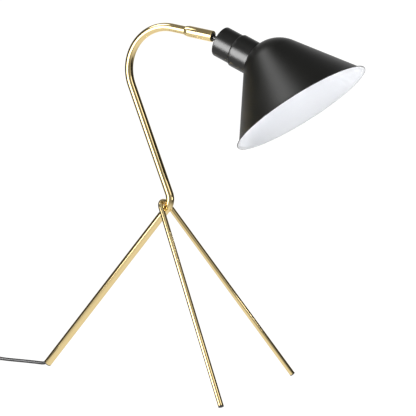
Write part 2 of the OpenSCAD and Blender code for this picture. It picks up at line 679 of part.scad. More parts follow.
main_tube();
front_legs();
braze_joint();
rear_foot_bush();
front_foot_pads();
tube_cable();
stand_wires();
swivel_collar();
collar_screw();
disc_springs();
pressure_cup();
swivel_ball();
socket_cap();
lock_nut();
holder_body();
contact_base();
terminal_blocks();
terminal_screws();
centre_contact();
screw_shell();
holder_skirt();
shade_ring();
neck_sleeve();
shade();
head_wires();
cord_lead();
cord_run();
cord_coil();
cord_end();
cord_tie();
switch_base();
switch_cover();
switch_rocker();
switch_contacts();
switch_screws();
plug_body();
plug_relief();
plug_pins();
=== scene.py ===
"""The looks of a tripod table lamp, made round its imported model: a brass tube and hairpin leg, a black
head on a swivel, and a cord that is put away in a coil beside the rear foot."""
import json
import math

import bmesh
import bpy
from mathutils import Matrix, Vector

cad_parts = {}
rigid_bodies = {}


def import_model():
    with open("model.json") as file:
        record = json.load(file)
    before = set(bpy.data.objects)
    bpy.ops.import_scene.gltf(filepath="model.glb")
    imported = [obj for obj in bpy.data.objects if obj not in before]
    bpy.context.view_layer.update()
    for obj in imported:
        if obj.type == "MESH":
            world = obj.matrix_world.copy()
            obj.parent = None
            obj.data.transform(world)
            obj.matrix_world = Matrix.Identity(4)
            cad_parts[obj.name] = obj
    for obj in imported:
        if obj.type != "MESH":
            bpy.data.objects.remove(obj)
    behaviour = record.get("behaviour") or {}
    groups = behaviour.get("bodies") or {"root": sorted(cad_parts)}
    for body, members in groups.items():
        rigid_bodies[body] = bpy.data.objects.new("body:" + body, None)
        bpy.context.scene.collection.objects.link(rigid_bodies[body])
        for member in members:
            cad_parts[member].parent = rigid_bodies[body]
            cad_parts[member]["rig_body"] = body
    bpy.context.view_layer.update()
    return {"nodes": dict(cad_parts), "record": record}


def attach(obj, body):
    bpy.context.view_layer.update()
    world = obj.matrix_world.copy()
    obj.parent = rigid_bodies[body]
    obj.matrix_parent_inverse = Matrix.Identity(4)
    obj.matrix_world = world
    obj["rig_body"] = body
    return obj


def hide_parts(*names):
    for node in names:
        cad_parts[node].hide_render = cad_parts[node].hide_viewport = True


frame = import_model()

NODES = frame["nodes"]
SLOTS = {part["node"]: part["material_slot"] for part in frame["record"]["subparts"]}
MM = 0.001
UP = Vector((0, 0, 1))
WELD, CAD_WELD = 1e-6, 2e-6       # points that are nearer than this, in metres, are one


def point(x, y, z):
    """A point given in millimetres."""
    return Vector((x, y, z)) * MM


# ---------------------------------------------------------------- sizes

# The bent tube, in the lamp's own plane. Leans are from vertical, in degrees, and positive towards +X.
TUBE_R, TUBE_WALL = 6 * MM, 1 * MM
BALL = point(27.0735, 0, 501.997)
BALL_TO_ARCH = 62.5 * MM
TUBE_END = 46 * MM                # how far the tube runs past the arch
ARM_FALL, ARCH_BEND = 8.6, 62.2 * MM
MAST_LEAN, MAST_LEN = 21.7, 164.7 * MM
LEG_LEAN, KNEE_BEND = 39.4, 21 * MM
FOOT_Z = 4.336 * MM               # middle of the tube's lower end
BEND_STEP = 3                     # a bend has a point about every so many degrees

# The hairpin leg
BAR_R = 4 * MM
HAIRPIN_CORNER = point(-64.9367, 0, 283.5)
BAR_FALL, BAR_HALF, HAIRPIN_BEND = 59.3, 18.87, 12.2 * MM
BAR_LEN = 344.868 * MM            # from the corner to the bar's end
HAIRPIN_STEPS = 20                # in half of the bend

# The head. Distances named FROM are along the socket's axis, from the ball's centre; angles in degrees.
HEAD_FALL, HEAD_TURN, SHADE_BEND = 23.1, 2.4, 30.2
DOME_FROM, DOME_R = 118.5 * MM, 49.5 * MM
CONE_ANGLE, SHADE_DEPTH = 34.7, 58.2 * MM
LIP_BEND, LIP_TURN, LIP_LEN = 3 * MM, 45, 2.2 * MM
DOME_STEPS, CONE_STEPS, LIP_STEPS = 36, 12, 8
SHEET = 0.8 * MM
SKIN = 0.45 * MM                  # how much of the sheet is the black outside
LINING_SHORT = 0.6 * MM           # how far the white inside stops short of the rim
NECK_R = 24.1 * MM
SHELL_FROM, SHELL_R, SHELL_LEN = 45.5 * MM, 13.3 * MM, 23.5 * MM
SHELL_WALL, SHELL_ROWS = 0.35 * MM, 84
THREAD_DEPTH, THREAD_PITCH = 1.0 * MM, 3.63 * MM

# The cord
CORD_D = 5 * MM
EXIT = point(-250.15, 0, 4.89786)
EXIT_FALL, EXIT_BEND = 27, 22 * MM
COIL_AT, COIL_Z, COIL_R = (-402 * MM, -61 * MM), 3.4 * MM, 35 * MM
COIL_STEP, COIL_LAYERS, COIL_TURNS = 5.5 * MM, 4, 8 + 70 / 360
COIL_RINGS = 40                   # in a turn
ROUTE_STEPS = 4                   # between two points of a route
PLUG_AT, PLUG_TURN = point(-340, -113, 6.9), math.radians(-10)
PLUG_WAY = Vector((math.cos(PLUG_TURN), math.sin(PLUG_TURN), 0))
PLUG_TO_BARE = 44 * MM            # from the plug's cord end to where the pins' sleeves stop


# ---------------------------------------------------------------- camera, light and floor

CAMERA_AZIMUTH, CAMERA_ELEVATION = math.radians(28.1), math.radians(9.04)
CAMERA_DISTANCE, CAMERA_REACH = 3.3287, 100
CAMERA_LENS, CAMERA_SENSOR = 201.2, 36
AIM = Vector((0.0080, 0.0260, 0.2530))


def look_from(azimuth, elevation):
    """The direction from what is looked at to the eye. Azimuth 0 is in front, at -Y."""
    return Vector((math.sin(azimuth) * math.cos(elevation), -math.cos(azimuth) * math.cos(elevation),
                   math.sin(elevation)))


def beside_camera(azimuth, elevation):
    """A direction as look_from() gives it, in degrees, with its azimuth taken from the camera's."""
    return look_from(CAMERA_AZIMUTH + math.radians(azimuth), math.radians(elevation))


def aimed(name, data, aim, back, distance):
    """A camera or a light that faces a point, from a distance in the direction back."""
    thing = bpy.data.objects.new(name, data)
    thing.rotation_mode = "QUATERNION"
    thing.location = aim + back * distance
    thing.rotation_quaternion = (-back).to_track_quat("-Z", "Y")
    bpy.context.scene.collection.objects.link(thing)
    return thing


def make_camera():
    """The camera, at the lamp's right front and a little above the table."""
    data = bpy.data.cameras.new("camera")
    data.lens, data.sensor_width, data.clip_end = CAMERA_LENS, CAMERA_SENSOR, CAMERA_REACH
    back = look_from(CAMERA_AZIMUTH, CAMERA_ELEVATION)
    bpy.context.scene.camera = aimed("camera", data, AIM, back, CAMERA_DISTANCE)


def soft_box(name, azimuth, elevation, distance, size, watts, aim=Vector((0, 0, 0.3)), spread=180):
    """A rectangular light. Its two angles and its spread are in degrees, the rest in metres and watts."""
    data = bpy.data.lights.new(name, "AREA")
    data.shape, data.size, data.size_y = "RECTANGLE", *size
    data.energy, data.spread = watts, math.radians(spread)
    aimed(name, data, aim, beside_camera(azimuth, elevation), distance)


make_camera()


# ---------------------------------------------------------------- node graphs

class Wire:
    """A node's output. Python's operators on it add maths nodes."""

    def __init__(self, graph, node, out=0):
        self.graph, self.node, self.socket = graph, node, node.outputs[out]

    def out(self, name):
        """Another output of the same node."""
        return Wire(self.graph, self.node, name)

    def maths(self, operation, *values):
        """A maths node on the values, which may be wires or numbers."""
        return self.graph.add("ShaderNodeMath", {"operation": operation}, dict(enumerate(values)))

    def __add__(self, other):
        return self.maths("ADD", self, other)

    def __sub__(self, other):
        return self.maths("SUBTRACT", self, other)

    def __rsub__(self, other):
        return self.maths("SUBTRACT", other, self)

    def __mul__(self, other):
        return self.maths("MULTIPLY", self, other)

    def __truediv__(self, other):
        return self.maths("DIVIDE", self, other)

    __radd__, __rmul__ = __add__, __mul__

    def above(self, edge, soft):
        """0 below the edge and 1 above it, with a soft step between."""
        return self.graph.add("ShaderNodeMapRange", {"interpolation_type": "SMOOTHSTEP"},
                              {"Value": self, "From Min": edge - soft, "From Max": edge + soft})


class Graph:
    """A node tree. All of its nodes are made by add()."""

    def __init__(self, tree):
        self.tree = tree
        tree.nodes.clear()

    def add(self, kind, settings=None, sockets=None, out=0):
        """A node with its settings, and the values or wires of its inputs."""
        node = self.tree.nodes.new(kind)
        for name, value in (settings or {}).items():
            setattr(node, name, value)
        for name, value in (sockets or {}).items():
            if isinstance(value, Wire):
                self.tree.links.new(value.socket, node.inputs[name])
            else:
                node.inputs[name].default_value = value
        return Wire(self, node, out) if node.outputs else None

    def end(self, kind, wire):
        """The node that the tree ends in."""
        self.add(kind, None, {0: wire})


class Finish(Graph):
    """The graph of one material."""

    def __init__(self, name):
        self.material = bpy.data.materials.new(name)
        self.material.use_nodes = True
        super().__init__(self.material.node_tree)
        self.place = self.add("ShaderNodeTexCoord", out="Object")

    def surface(self, colour, roughness, metallic, normal, **more):
        """Ends the graph in one shader."""
        shader = self.add("ShaderNodeBsdfPrincipled", None,
                          {"Base Color": colour, "Roughness": roughness, "Metallic": metallic,
                           "Normal": normal, **more})
        self.end("ShaderNodeOutputMaterial", shader)
        return self.material

    def noise(self, size, detail=2.0, stretch=(1, 1, 1), place=None):
        """Noise from 0 to 1 with features of about a size, in metres, drawn out along the axes."""
        spread = self.add("ShaderNodeVectorMath", {"operation": "DIVIDE"},
                          {0: place or self.place, 1: [size * s for s in stretch]})
        return self.add("ShaderNodeTexNoise", None, {"Vector": spread, "Scale": 1.0, "Detail": detail})

    def blend(self, mask, low, high):
        """A colour between two others."""
        return self.add("ShaderNodeMix", {"data_type": "RGBA"}, {0: mask, 6: low, 7: high}, out=2)

    def bump(self, height, depth, strength=1.0):
        """The normal of a surface that rises by a depth, in metres, where the height is 1."""
        return self.add("ShaderNodeBump", None, {"Height": height, "Distance": depth, "Strength": strength})

    def along_and_around(self):
        """Where a point lies along a bent bar, and round it, in metres."""
        along = self.add("ShaderNodeAttribute", {"attribute_name": "along"}, out="Fac")
        around = self.add("ShaderNodeAttribute", {"attribute_name": "around"}, out="Fac")
        return self.add("ShaderNodeCombineXYZ", None, {0: along, 1: around})


def rgb(red, green, blue):
    """A colour as linear light, from sRGB values of 0 to 255. Below 10.3 their scale is straight."""
    return [(v / 255 / 12.92 if v < 10.3 else ((v / 255 + 0.055) / 1.055) ** 2.4)
            for v in (red, green, blue)] + [1.0]


# ---------------------------------------------------------------- finishes

BRASS_DARK, BRASS_PALE = (0.80, 0.62, 0.30), (0.88, 0.70, 0.36)


def brass(name, on_bar, tone=1.0):
    """Satin brass, brushed along a bar or else evenly, with faint clouds in its colour."""
    finish = Finish(name)
    place = finish.along_and_around() if on_bar else None
    streaks = finish.noise(0.12 * MM, 3, (90, 1, 1) if on_bar else (1, 1, 1), place)
    clouds = finish.noise(28 * MM, 2)
    colour = finish.blend(clouds, *([v * tone for v in shade] + [1] for shade in (BRASS_DARK, BRASS_PALE)))
    return finish.surface(colour, 0.04 + streaks * 0.04 + clouds * 0.02, 1.0,
                          finish.bump(streaks, 0.001 * MM, 0.5))


def paint(name, dark, light, roughness, peel=0.010, gloss=1.5):
    """Sprayed paint with an orange peel of a depth in millimetres, and a few dull clouds."""
    finish = Finish(name)
    grain = finish.noise(0.9 * MM, 3)
    clouds = finish.noise(35 * MM, 2)
    return finish.surface(finish.blend(clouds, dark, light), roughness + grain * 0.06 + clouds * 0.04, 0.0,
                          finish.bump(grain, peel * MM), IOR=gloss)


def moulded(name, dark, light, roughness, grain_size=0.35, depth=0.02):
    """Moulded plastic or rubber with a fine even grain, whose size and depth are in millimetres."""
    finish = Finish(name)
    grain = finish.noise(grain_size * MM, 2)
    return finish.surface(finish.blend(grain, dark, light), roughness + grain * 0.12, 0.0,
                          finish.bump(grain, depth * MM))


def plated(name, dark, light, roughness):
    """Bare or plated metal, brushed a little, and duller in spots."""
    finish = Finish(name)
    streaks = finish.noise(0.15 * MM, 3, (1, 12, 12))
    spots = finish.noise(4 * MM, 3)
    return finish.surface(finish.blend(spots, dark, light), roughness + streaks * 0.12 + spots * 0.06, 1.0,
                          finish.bump(streaks, 0.004 * MM))


def sheath(name):
    """The cord's round black sheath, with faint marks along it from the die."""
    finish = Finish(name)
    marks = finish.noise(0.5 * MM, 2, (60, 1, 1), finish.along_and_around())
    return finish.surface(finish.blend(marks, rgb(11, 11, 12), rgb(17, 17, 18)), 0.32 + marks * 0.12, 0.0,
                          finish.bump(marks, 0.02 * MM))


def pin_metal(name):
    """Nickel pins with a black sleeve on the half that is nearer the plug."""
    finish = Finish(name)
    along = finish.add("ShaderNodeVectorMath", {"operation": "DOT_PRODUCT"},
                       {0: finish.place, 1: PLUG_WAY}, out="Value")
    bare = along.above(PLUG_AT.dot(PLUG_WAY) + PLUG_TO_BARE, 0.05 * MM)
    grain = finish.noise(0.3 * MM, 2)
    return finish.surface(finish.blend(bare, rgb(30, 30, 32), [0.72, 0.70, 0.66, 1]),
                          0.42 - bare * 0.2 + grain * 0.08, bare, finish.bump(grain, 0.004 * MM))


BAR_BRASS = brass("bar_brass", True)
PART_BRASS = brass("part_brass", False)
FILLER_BRASS = brass("filler_brass", False, 0.85)
SHADE_BLACK = paint("shade_black", rgb(6, 6, 4), rgb(9, 9, 7), 0.32, 0.008, 1.36)
HEAD_BLACK = paint("head_black", rgb(8, 8, 7), rgb(12, 12, 11), 0.27, 0.004, 1.42)
STEM_BLACK = paint("stem_black", rgb(12, 12, 12), rgb(17, 17, 17), 0.30, 0.004)
SHADE_WHITE = paint("shade_white", rgb(244, 246, 250), rgb(248, 249, 252), 0.42)
RUBBER = moulded("rubber", rgb(30, 30, 31), rgb(38, 38, 39), 0.62)
CORD_BLACK = sheath("cord_black")
PLASTIC_BLACK = moulded("plastic_black", rgb(27, 27, 28), rgb(33, 33, 34), 0.36, 0.5, 0.012)
HOLDER_BLACK = moulded("holder_black", rgb(30, 30, 31), rgb(36, 36, 37), 0.5)
CORE_BROWN = moulded("core_brown", rgb(92, 52, 26), rgb(104, 60, 32), 0.4)
CORE_BLUE = moulded("core_blue", rgb(36, 66, 140), rgb(44, 76, 152), 0.4)
BASE_WHITE = moulded("base_white", rgb(226, 223, 214), rgb(236, 233, 226), 0.25, 1.2, 0.008)
STEEL = plated("steel", [0.50, 0.51, 0.53, 1], [0.60, 0.61, 0.62, 1], 0.24)
SPRING_STEEL = plated("spring_steel", [0.42, 0.42, 0.43, 1], [0.52, 0.52, 0.53, 1], 0.3)
CONTACT_BRASS = plated("contact_brass", [0.74, 0.55, 0.25, 1], [0.84, 0.66, 0.34, 1], 0.2)
PIN_NICKEL = pin_metal("pin_nickel")


# ---------------------------------------------------------------- making pieces

def link(name, mesh, material=None):
    """A piece with a mesh of its own."""
    piece = bpy.data.objects.new(name, mesh)
    bpy.context.scene.collection.objects.link(piece)
    if material is not None:
        mesh.materials.clear()
        mesh.materials.append(material)
    return piece


def baked(piece, sharp=None):
    """The piece with its modifiers' result as its own mesh, and with the modifiers removed."""
    mesh = bpy.data.meshes.new_from_object(piece.evaluated_get(bpy.context.evaluated_depsgraph_get()))
    piece.modifiers.clear()
    piece.data = mesh
    mesh.shade_smooth()
    if sharp is not None:
        mesh.set_sharp_from_angle(angle=math.radians(sharp))
    return piece


def stands_for(piece, body, slot, *nodes):
    """Puts a piece on a body, in the place of the nodes."""
    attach(piece, body)
    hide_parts(*nodes)
    return piece


def nodes_modifier(piece, tree, **inputs):
    """Runs a geometry tree on a piece. An input is set by its socket's identifier."""
    modifier = piece.modifiers.new(tree.name, "NODES")
    modifier.node_group = tree
    for item in tree.interface.items_tree:
        if item.in_out == "INPUT" and item.name in inputs:
            modifier[item.identifier] = inputs[item.name]


def geometry_tree(name, **inputs):
    """A geometry tree with named inputs, as its graph and the group's own input node."""
    tree = bpy.data.node_groups.new(name, "GeometryNodeTree")
    graph = Graph(tree)
    tree.interface.new_socket("Geometry", in_out="INPUT", socket_type="NodeSocketGeometry")
    for label, kind in inputs.items():
        tree.interface.new_socket(label, in_out="INPUT", socket_type="NodeSocket" + kind)
    tree.interface.new_socket("Geometry", in_out="OUTPUT", socket_type="NodeSocketGeometry")
    return graph, graph.add("NodeGroupInput")


def end_tree(graph, geometry, material):
    """Ends a geometry tree, with a material on all that it makes."""
    real = graph.add("GeometryNodeRealizeInstances", None, {0: geometry})
    done = graph.add("GeometryNodeSetMaterial", None, {"Geometry": real, "Material": material})
    graph.end("NodeGroupOutput", done)
    return graph.tree


def bar_tree():
    """Sweeps a round section along a line of edges."""
    graph, given = geometry_tree("bent_bar", Radius="Float", Sides="Int", Capped="Bool", Material="Material")

    def marked(curve, name):
        length = graph.add("GeometryNodeSplineParameter", out="Length")
        return graph.add("GeometryNodeStoreNamedAttribute", {"data_type": "FLOAT", "domain": "POINT"},
                         {"Geometry": curve, "Name": name, "Value": length})

    line = marked(graph.add("GeometryNodeMeshToCurve", None, {0: given}), "along")
    section = graph.add("GeometryNodeCurvePrimitiveCircle", None,
                        {"Resolution": given.out("Sides"), "Radius": given.out("Radius")})
    swept = graph.add("GeometryNodeCurveToMesh", None,
                      {"Curve": line, "Profile Curve": marked(section, "around"),
                       "Fill Caps": given.out("Capped")})
    return end_tree(graph, swept, given.out("Material"))


def turned_tree():
    """Turns an outline of edges, in the XZ plane, round the Z axis, with a thread if it has a depth."""
    graph, given = geometry_tree("turned", Steps="Int", Thread="Float", Pitch="Float", Material="Material")
    count = graph.add("GeometryNodeAttributeDomainSize", None, {0: given}, out="Point Count")
    grid = graph.add("GeometryNodeMeshGrid", None,
                     {"Vertices X": count + 1, "Vertices Y": given.out("Steps") + 1})
    index = graph.add("GeometryNodeInputIndex")
    row = index.maths("FLOOR", (index + 0.5) / (given.out("Steps") + 1))
    turn = (index - row * (given.out("Steps") + 1)) / given.out("Steps")
    here = graph.add("GeometryNodeSampleIndex", {"data_type": "FLOAT_VECTOR", "domain": "POINT"},
                     {"Geometry": given, "Value": graph.add("GeometryNodeInputPosition"),
                      "Index": row.maths("MODULO", row, count)})
    parts = graph.add("ShaderNodeSeparateXYZ", None, {0: here})
    radius, height = parts.out("X"), parts.out("Z")
    wave = turn.maths("COSINE", (height / given.out("Pitch") - turn) * math.tau)
    radius = radius + (1 - wave) * given.out("Thread") * 0.5
    place = graph.add("ShaderNodeCombineXYZ", None,
                      {0: radius * turn.maths("COSINE", turn * math.tau),
                       1: radius * turn.maths("SINE", turn * math.tau), 2: height})
    shell = graph.add("GeometryNodeSetPosition", None, {"Geometry": grid, "Position": place})
    closed = graph.add("GeometryNodeMergeByDistance", None, {"Geometry": shell, "Distance": WELD})
    return end_tree(graph, closed, given.out("Material"))


def outward(piece):
    """Turns every face of a closed piece outwards."""
    bm = bmesh.new()
    bm.from_mesh(piece.data)
    bmesh.ops.remove_doubles(bm, verts=bm.verts, dist=WELD)
    bmesh.ops.recalc_face_normals(bm, faces=bm.faces)
    bm.to_mesh(piece.data)
    bm.free()
    return piece


def line_mesh(name, points, closed=False):
    """A mesh of edges through the points."""
    mesh = bpy.data.meshes.new(name)
    edges = [(i, i + 1) for i in range(len(points) - 1)] + [(len(points) - 1, 0)] * closed
    mesh.from_pydata(points, edges, [])
    return mesh


BAR_TREE, TURNED_TREE = bar_tree(), turned_tree()


def bent_bar(name, points, radius, material, capped=False, sides=64):
    """A round bar along the points."""
    piece = link(name, line_mesh(name, points))
    nodes_modifier(piece, BAR_TREE, Radius=radius, Sides=sides, Capped=capped, Material=material)
    return piece


def turned(name, outline, place, material, steps=160, thread=0.0, pitch=1.0):
    """A closed outline of [radius, height] points, turned round an axis and put in its place."""
    points = [Vector((r, 0, h)) for r, h in outline]
    piece = link(name, line_mesh(name, points, closed=True))
    nodes_modifier(piece, TURNED_TREE, Steps=steps, Thread=thread, Pitch=pitch, Material=material)
    outward(baked(piece))
    piece.data.transform(place)
    piece.data.shade_smooth()
    piece.data.set_sharp_from_angle(angle=math.radians(35))
    return piece


def eased(node, material, width, sharp=40):
    """A copy of a CAD node whose doubles are merged and whose sharp edges are rounded a little."""
    mesh = NODES[node].data.copy()
    bm = bmesh.new()
    bm.from_mesh(mesh)
    bmesh.ops.remove_doubles(bm, verts=bm.verts, dist=CAD_WELD)
    bmesh.ops.dissolve_limit(bm, angle_limit=math.radians(0.3), verts=bm.verts, edges=bm.edges)
    bm.to_mesh(mesh)
    bm.free()
    piece = link(node + "_eased", mesh, material)
    edges = piece.modifiers.new("edges", "BEVEL")
    edges.width, edges.segments, edges.limit_method = width, 2, "ANGLE"
    edges.angle_limit, edges.use_clamp_overlap = math.radians(sharp), True
    return stands_for(baked(piece, sharp), NODES[node]["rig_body"], SLOTS[node], node)


# ---------------------------------------------------------------- cords

def rounded_line(points, steps):
    """A smooth line through the points."""
    ends = [2 * points[0] - points[1], *points, 2 * points[-1] - points[-2]]
    line = []
    for a, b, c, d in zip(ends, ends[1:], ends[2:], ends[3:]):
        for i in range(steps):
            t = i / steps
            line.append(0.5 * (2 * b + (c - a) * t + (2 * a - 5 * b + 4 * c - d) * t * t
                               + (3 * b - a - 3 * c + d) * t ** 3))
    return line + [points[-1]]


def cord_tube(name, line, radius, material, sides=14):
    """A tube whose rings stand square to the line, with its marks along and around."""
    rings, where, side = [], 0.0, None
    for i, here in enumerate(line):
        ahead = (line[min(i + 1, len(line) - 1)] - line[max(i - 1, 0)]).normalized()
        side = (UP.cross(ahead) if side is None else side - side.dot(ahead) * ahead).normalized()
        where += (here - line[i - 1]).length if i else 0.0
        rings.append((here, side, ahead.cross(side), where))
    points, marks = [], []
    for here, side, up, where in rings:
        for k in range(sides):
            turn = math.tau * k / sides
            points.append(here + radius * (math.cos(turn) * side + math.sin(turn) * up))
            marks.append((where, radius * turn))
    faces = [(a + k, a + (k + 1) % sides, a + sides + (k + 1) % sides, a + sides + k)
             for a in range(0, sides * (len(rings) - 1), sides) for k in range(sides)]
    last = sides * (len(rings) - 1)
    faces += [tuple(reversed(range(sides))), tuple(range(last, last + sides))]
    mesh = bpy.data.meshes.new(name)
    mesh.from_pydata(points, [], faces)
    for mark, column in (("along", 0), ("around", 1)):
        attribute = mesh.attributes.new(mark, "FLOAT", "POINT")
        attribute.data.foreach_set("value", [m[column] for m in marks])
    mesh.shade_smooth()
    mesh.set_sharp_from_angle(angle=math.radians(60))
    return link(name, mesh, material)


def exit_arc(turn):
    """A point of the arc on which the cord leaves the foot, at a turn from its lowest point."""
    turn, fall = math.radians(turn), math.radians(EXIT_FALL)
    middle = EXIT + EXIT_BEND * Vector((-math.sin(fall), 0, math.cos(fall)))
    return middle + EXIT_BEND * Vector((math.sin(turn), 0, -math.cos(turn)))


def coil_point(turn):
    """The coil spirals in and out again, and climbs a layer in the half turn where it reverses."""
    layer_turns = COIL_TURNS / COIL_LAYERS
    layer = turn / layer_turns
    way = layer - 2 * math.floor(layer / 2)
    radius = COIL_R - COIL_STEP * layer_turns * (way if way < 1 else 2 - way)
    height = COIL_Z
    for k in range(1, COIL_LAYERS):
        rise = min(max((turn - k * layer_turns) * 2 + 0.5, 0), 1)
        height += COIL_STEP * rise * rise * (3 - 2 * rise)
    angle = math.pi + math.tau * turn
    return Vector((COIL_AT[0] + radius * math.cos(angle), COIL_AT[1] + radius * math.sin(angle), height))


LEAD_ROUTE = [EXIT, *(exit_arc(turn) for turn in (20, 13, 6, 0)), point(-272, -0.2, 2.5),
              point(-284, -0.8, 2.5), point(-296, -1.8, 2.5), point(-308, -3, 2.5), point(-320, -4.2, 2.6),
              point(-331, -5.1, 3.1), point(-341, -5.7, 4.2), point(-348, -6, 5.1), point(-353, -6, 5.5),
              point(-357, -6, 5.5)]
RUN_ROUTE = [point(-405, -6, 5.5), point(-410, -6, 5.5), point(-415, -6.2, 5.3), point(-420, -7.3, 4.8),
             point(-425.5, -9.9, 4.1), point(-430.3, -13.9, 3.5), point(-434, -19, 3.1),
             point(-436.3, -25, 2.9), point(-437, -31, 2.8), point(-437, -43, 3.1), point(-437, -51, 3.4),
             point(-437, -56, 3.4)]
END_ROUTE = [point(-396, -100.3, 18.6), point(-389, -102.6, 15.9), point(-382, -104.7, 12.4),
             point(-375, -106.5, 9.3), point(-369, -107.8, 7.5),
             *(PLUG_AT - back * MM * PLUG_WAY for back in (24, 17, 9, 1))]


def length_of(line):
    """How long a line is."""
    return sum((b - a).length for a, b in zip(line, line[1:]))


def make_cords():
    """The cord from the foot to the switch, and from the switch through the coil to the plug."""
    lead_line = rounded_line(LEAD_ROUTE, ROUTE_STEPS)
    lead = cord_tube("lead_to_switch", lead_line, CORD_D / 2, CORD_BLACK)
    stands_for(lead, "stand", "cord_black", "cord_lead")
    rings = math.ceil(COIL_TURNS * COIL_RINGS)
    coil = [coil_point(COIL_TURNS * i / rings) for i in range(rings + 1)]
    end_angle = math.pi + math.tau * COIL_TURNS
    out = Vector((-math.sin(end_angle), math.cos(end_angle), 0))
    leave = [coil[-1] + out * CORD_D, coil[-1] + out * (CORD_D + 4 * MM)]
    main_line = (rounded_line(RUN_ROUTE, ROUTE_STEPS)[:-1] + coil[:-1]
                 + rounded_line([coil[-1], *leave, *END_ROUTE], ROUTE_STEPS))
    flex = cord_tube("flex_to_plug", main_line, CORD_D / 2, CORD_BLACK)
    stands_for(flex, "stand", "cord_black", "cord_run", "cord_coil", "cord_end")
    return lead, lead_line, flex, main_line


LEAD, LEAD_LINE, FLEX, FLEX_LINE = make_cords()


# ---------------------------------------------------------------- the stand

def leaning(lean):
    """A direction in the lamp's plane, at a lean in degrees."""
    return Vector((math.sin(math.radians(lean)), 0, math.cos(math.radians(lean))))


def walk(start, lean, moves):
    """Points of a way in the lamp's plane: a move is a length, or a bend's radius and its turn."""
    points, here = [start], start
    for move in moves:
        if isinstance(move, tuple):
            radius, turn = move
            hand = math.copysign(1, turn)
            across = Vector((math.cos(math.radians(lean)), 0, -math.sin(math.radians(lean))))
            middle = here + across * hand * radius
            steps = math.ceil(abs(turn) / BEND_STEP)
            for i in range(1, steps + 1):
                a = math.radians(lean + turn * i / steps)
                here = middle - hand * radius * Vector((math.cos(a), 0, -math.sin(a)))
                points.append(here)
            lean += turn
        else:
            here = here + move * leaning(lean)
            points.append(here)
    return points


def tube_way():
    """The tube's middle line, from inside the collar back to the rear foot."""
    lean = ARM_FALL - 90          # along the arm, away from the ball
    top = walk(BALL + leaning(lean) * (BALL_TO_ARCH - TUBE_END), lean,
               [TUBE_END, (ARCH_BEND, -(90 + MAST_LEAN + ARM_FALL)), MAST_LEN,
                (KNEE_BEND, MAST_LEAN + LEG_LEAN)])
    leg = (top[-1].z - FOOT_Z) / math.cos(math.radians(LEG_LEAN))
    return top + [top[-1] - leaning(LEG_LEAN) * leg]


def hairpin_way():
    """The hairpin's middle line, from one front foot round the bend to the other."""
    fall, half = math.radians(BAR_FALL), math.radians(BAR_HALF)
    down, across = Vector((math.cos(fall), 0, -math.sin(fall))), Vector((0, 1, 0))
    middle = HAIRPIN_CORNER + down * HAIRPIN_BEND / math.sin(half)
    feet = [HAIRPIN_CORNER + BAR_LEN * (math.cos(half) * down + side * math.sin(half) * across)
            for side in (-1, 1)]
    sweep = math.pi / 2 - half
    turns = [sweep * (i / HAIRPIN_STEPS - 1) for i in range(2 * HAIRPIN_STEPS + 1)]
    bend = [middle + HAIRPIN_BEND * (math.sin(a) * across - math.cos(a) * down) for a in turns]
    return [feet[0], *bend, feet[1]]


def make_stand():
    """The tube with its hollow, and the hairpin with eased ends."""
    tube = bent_bar("tube", tube_way(), TUBE_R, BAR_BRASS)
    wall = tube.modifiers.new("wall", "SOLIDIFY")
    wall.thickness, wall.offset = TUBE_WALL, -1
    stands_for(baked(tube, 40), "stand", "tube_brass", "main_tube")
    hairpin = bent_bar("hairpin", hairpin_way(), BAR_R, BAR_BRASS, capped=True, sides=48)
    edge = hairpin.modifiers.new("edges", "BEVEL")
    edge.width, edge.segments, edge.limit_method = 0.4 * MM, 2, "ANGLE"
    edge.angle_limit = math.radians(60)
    stands_for(baked(hairpin, 40), "stand", "tube_brass", "front_legs")


make_stand()


# ---------------------------------------------------------------- the head

def head_axis(along):
    """Where a distance along the socket's axis lies, with Z along it and X down."""
    return (Matrix.Translation(BALL) @ Matrix.Rotation(math.radians(-HEAD_TURN), 4, "Z")
            @ Matrix.Rotation(math.radians(90 + HEAD_FALL), 4, "Y") @ Matrix.Translation((0, 0, along)))


def shade_line(depth, short=0.0):
    """The shade's outline at a depth in its wall, from the top of the dome to short of the rim."""
    cone = math.radians(CONE_ANGLE)
    out = Vector((math.cos(cone), -math.sin(cone)))
    down = Vector((math.sin(cone), math.cos(cone)))
    turn = math.radians(LIP_TURN)
    lip = math.cos(turn) * down + math.sin(turn) * out

    def lip_point(start, angle, radius, along):
        outwards, onwards = LIP_BEND - radius * math.cos(angle), radius * math.sin(angle)
        return start + outwards * out + onwards * down + along * lip

    drop = lip_point(Vector((0, 0)), turn, LIP_BEND + SHEET / 2, LIP_LEN).y
    cone_len = (SHADE_DEPTH - drop + DOME_R * math.sin(cone)) / math.cos(cone)
    start = DOME_R * out + cone_len * down
    dome = [(DOME_R - depth) * Vector((math.cos(a), math.sin(a)))
            for a in (math.radians(-90 + (90 - CONE_ANGLE) * i / DOME_STEPS) for i in range(DOME_STEPS + 1))]
    wall = [(DOME_R - depth) * out + cone_len * down * i / CONE_STEPS for i in range(1, CONE_STEPS)]
    bend = [lip_point(start, turn * i / LIP_STEPS, LIP_BEND + depth, 0) for i in range(LIP_STEPS + 1)]
    return dome + wall + bend + [lip_point(start, turn, LIP_BEND + depth, LIP_LEN - short)]


